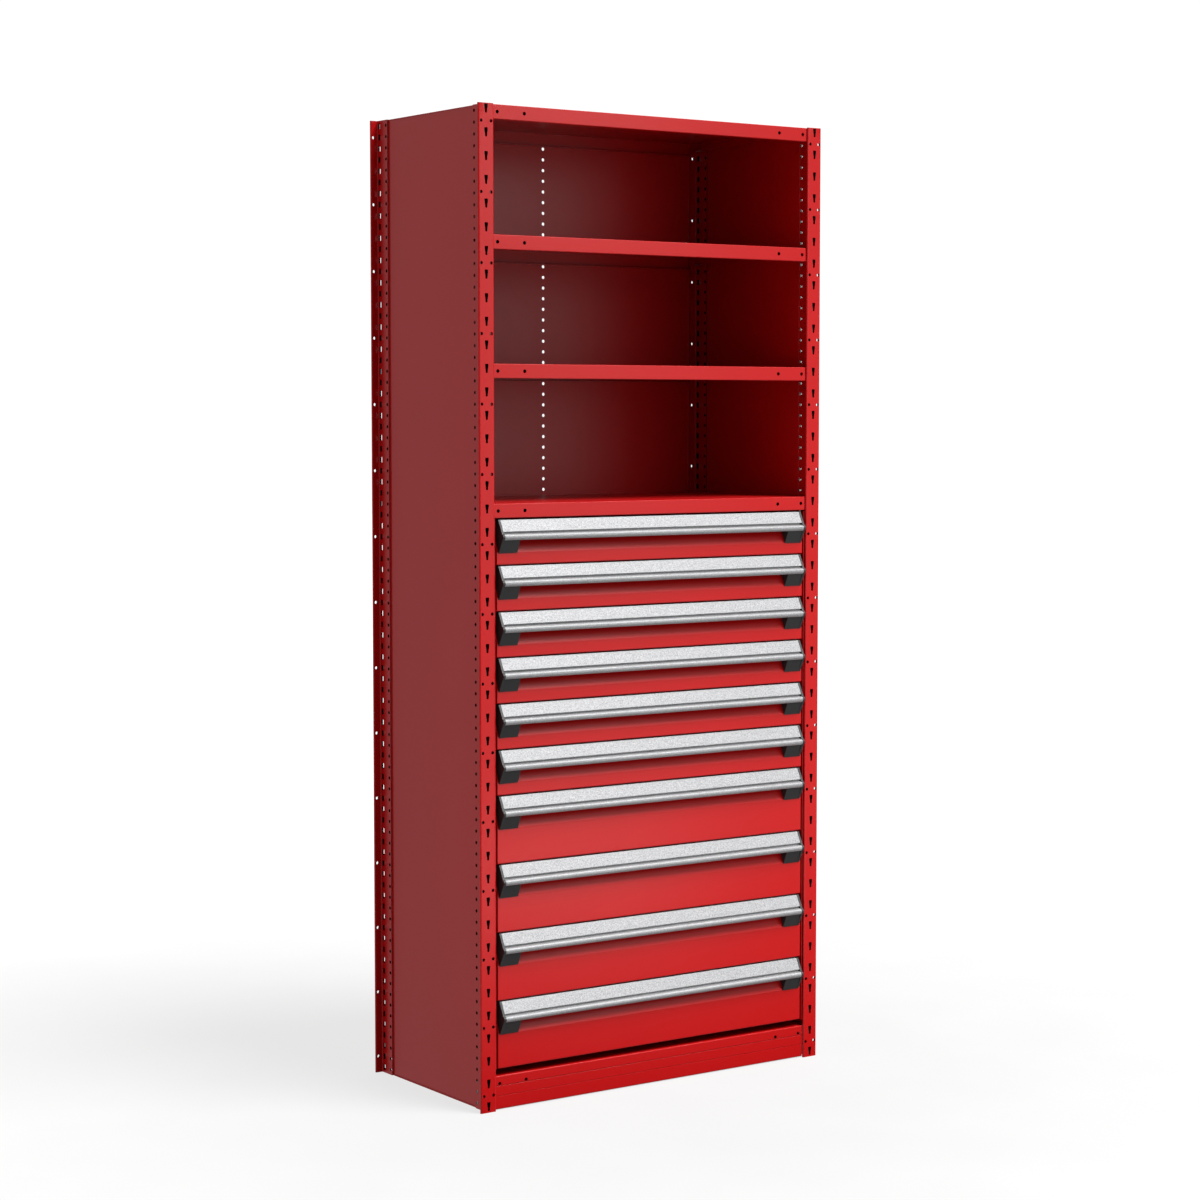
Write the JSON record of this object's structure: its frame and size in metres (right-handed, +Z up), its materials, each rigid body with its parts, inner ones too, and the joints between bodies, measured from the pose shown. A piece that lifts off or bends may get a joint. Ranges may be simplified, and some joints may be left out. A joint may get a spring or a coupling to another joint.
{
  "type": "shelving unit with drawers",
  "caption": "Tall closed steel shelving unit with open shelf bays above a stack of full-width drawers on full-extension slides.",
  "frame": {"origin": "middle of the footprint on the floor, which is the bottom centre of the bounding box", "axes": "+Z up, -Y is the front, where the drawers open, +X to the right seen from the front"},
  "size_m": [0.9544, 0.4796, 2.2098],
  "materials": {
    "red_paint": "red powder coat, fine orange peel, semi gloss",
    "satin_aluminium": "satin anodised extrusion",
    "zinc_steel": "zinc plated",
    "black_plastic": "moulded, fine grain"
  },
  "bodies": {
    "carcass": {"post_front_left": "red_paint", "post_back_left": "red_paint", "side_panel_left": "red_paint", "housing_left": "red_paint", "post_front_right": "red_paint", "post_back_right": "red_paint", "side_panel_right": "red_paint", "housing_right": "red_paint", "back_panel": "red_paint", "shelf_1": "red_paint", "shelf_2": "red_paint", "shelf_3": "red_paint", "shelf_4": "red_paint", "shelf_bottom": "red_paint", "kick_plate": "red_paint"},
    "drawer_01": {"drawer_01_box": "red_paint", "drawer_01_handle": "satin_aluminium"},
    "drawer_01_slides": {"drawer_01_slide_left": "zinc_steel", "drawer_01_slide_right": "zinc_steel"},
    "drawer_02": {"drawer_02_box": "red_paint", "drawer_02_handle": "satin_aluminium"},
    "drawer_02_slides": {"drawer_02_slide_left": "zinc_steel", "drawer_02_slide_right": "zinc_steel"},
    "drawer_03": {"drawer_03_box": "red_paint", "drawer_03_handle": "satin_aluminium"},
    "drawer_03_slides": {"drawer_03_slide_left": "zinc_steel", "drawer_03_slide_right": "zinc_steel"},
    "drawer_04": {"drawer_04_box": "red_paint", "drawer_04_handle": "satin_aluminium"},
    "drawer_04_slides": {"drawer_04_slide_left": "zinc_steel", "drawer_04_slide_right": "zinc_steel"},
    "drawer_05": {"drawer_05_box": "red_paint", "drawer_05_handle": "satin_aluminium"},
    "drawer_05_slides": {"drawer_05_slide_left": "zinc_steel", "drawer_05_slide_right": "zinc_steel"},
    "drawer_06": {"drawer_06_box": "red_paint", "drawer_06_handle": "satin_aluminium"},
    "drawer_06_slides": {"drawer_06_slide_left": "zinc_steel", "drawer_06_slide_right": "zinc_steel"},
    "drawer_07": {"drawer_07_box": "red_paint", "drawer_07_handle": "satin_aluminium"},
    "drawer_07_slides": {"drawer_07_slide_left": "zinc_steel", "drawer_07_slide_right": "zinc_steel"},
    "drawer_08": {"drawer_08_box": "red_paint", "drawer_08_handle": "satin_aluminium"},
    "drawer_08_slides": {"drawer_08_slide_left": "zinc_steel", "drawer_08_slide_right": "zinc_steel"},
    "drawer_09": {"drawer_09_box": "red_paint", "drawer_09_handle": "satin_aluminium"},
    "drawer_09_slides": {"drawer_09_slide_left": "zinc_steel", "drawer_09_slide_right": "zinc_steel"},
    "drawer_10": {"drawer_10_box": "red_paint", "drawer_10_handle": "satin_aluminium"},
    "drawer_10_slides": {"drawer_10_slide_left": "zinc_steel", "drawer_10_slide_right": "zinc_steel"}
  },
  "joints": [
    {"name": "drawer_01_travel", "type": "slide", "parent": "carcass", "child": "drawer_01", "axis": [0, -1, 0], "range_m": [0, 0.4]},
    {"name": "drawer_01_slides_travel", "type": "slide", "parent": "carcass", "child": "drawer_01_slides", "axis": [0, -1, 0], "range_m": [0, 0.2]},
    {"name": "drawer_02_travel", "type": "slide", "parent": "carcass", "child": "drawer_02", "axis": [0, -1, 0], "range_m": [0, 0.4]},
    {"name": "drawer_02_slides_travel", "type": "slide", "parent": "carcass", "child": "drawer_02_slides", "axis": [0, -1, 0], "range_m": [0, 0.2]},
    {"name": "drawer_03_travel", "type": "slide", "parent": "carcass", "child": "drawer_03", "axis": [0, -1, 0], "range_m": [0, 0.4]},
    {"name": "drawer_03_slides_travel", "type": "slide", "parent": "carcass", "child": "drawer_03_slides", "axis": [0, -1, 0], "range_m": [0, 0.2]},
    {"name": "drawer_04_travel", "type": "slide", "parent": "carcass", "child": "drawer_04", "axis": [0, -1, 0], "range_m": [0, 0.4]},
    {"name": "drawer_04_slides_travel", "type": "slide", "parent": "carcass", "child": "drawer_04_slides", "axis": [0, -1, 0], "range_m": [0, 0.2]},
    {"name": "drawer_05_travel", "type": "slide", "parent": "carcass", "child": "drawer_05", "axis": [0, -1, 0], "range_m": [0, 0.4]},
    {"name": "drawer_05_slides_travel", "type": "slide", "parent": "carcass", "child": "drawer_05_slides", "axis": [0, -1, 0], "range_m": [0, 0.2]},
    {"name": "drawer_06_travel", "type": "slide", "parent": "carcass", "child": "drawer_06", "axis": [0, -1, 0], "range_m": [0, 0.4]},
    {"name": "drawer_06_slides_travel", "type": "slide", "parent": "carcass", "child": "drawer_06_slides", "axis": [0, -1, 0], "range_m": [0, 0.2]},
    {"name": "drawer_07_travel", "type": "slide", "parent": "carcass", "child": "drawer_07", "axis": [0, -1, 0], "range_m": [0, 0.4]},
    {"name": "drawer_07_slides_travel", "type": "slide", "parent": "carcass", "child": "drawer_07_slides", "axis": [0, -1, 0], "range_m": [0, 0.2]},
    {"name": "drawer_08_travel", "type": "slide", "parent": "carcass", "child": "drawer_08", "axis": [0, -1, 0], "range_m": [0, 0.4]},
    {"name": "drawer_08_slides_travel", "type": "slide", "parent": "carcass", "child": "drawer_08_slides", "axis": [0, -1, 0], "range_m": [0, 0.2]},
    {"name": "drawer_09_travel", "type": "slide", "parent": "carcass", "child": "drawer_09", "axis": [0, -1, 0], "range_m": [0, 0.4]},
    {"name": "drawer_09_slides_travel", "type": "slide", "parent": "carcass", "child": "drawer_09_slides", "axis": [0, -1, 0], "range_m": [0, 0.2]},
    {"name": "drawer_10_travel", "type": "slide", "parent": "carcass", "child": "drawer_10", "axis": [0, -1, 0], "range_m": [0, 0.4]},
    {"name": "drawer_10_slides_travel", "type": "slide", "parent": "carcass", "child": "drawer_10_slides", "axis": [0, -1, 0], "range_m": [0, 0.2]}
  ],
  "couplings": [
    {"joint": "drawer_01_slides_travel", "follows": "drawer_01_travel", "ratio": 0.5},
    {"joint": "drawer_02_slides_travel", "follows": "drawer_02_travel", "ratio": 0.5},
    {"joint": "drawer_03_slides_travel", "follows": "drawer_03_travel", "ratio": 0.5},
    {"joint": "drawer_04_slides_travel", "follows": "drawer_04_travel", "ratio": 0.5},
    {"joint": "drawer_05_slides_travel", "follows": "drawer_05_travel", "ratio": 0.5},
    {"joint": "drawer_06_slides_travel", "follows": "drawer_06_travel", "ratio": 0.5},
    {"joint": "drawer_07_slides_travel", "follows": "drawer_07_travel", "ratio": 0.5},
    {"joint": "drawer_08_slides_travel", "follows": "drawer_08_travel", "ratio": 0.5},
    {"joint": "drawer_09_slides_travel", "follows": "drawer_09_travel", "ratio": 0.5},
    {"joint": "drawer_10_slides_travel", "follows": "drawer_10_travel", "ratio": 0.5}
  ]
}
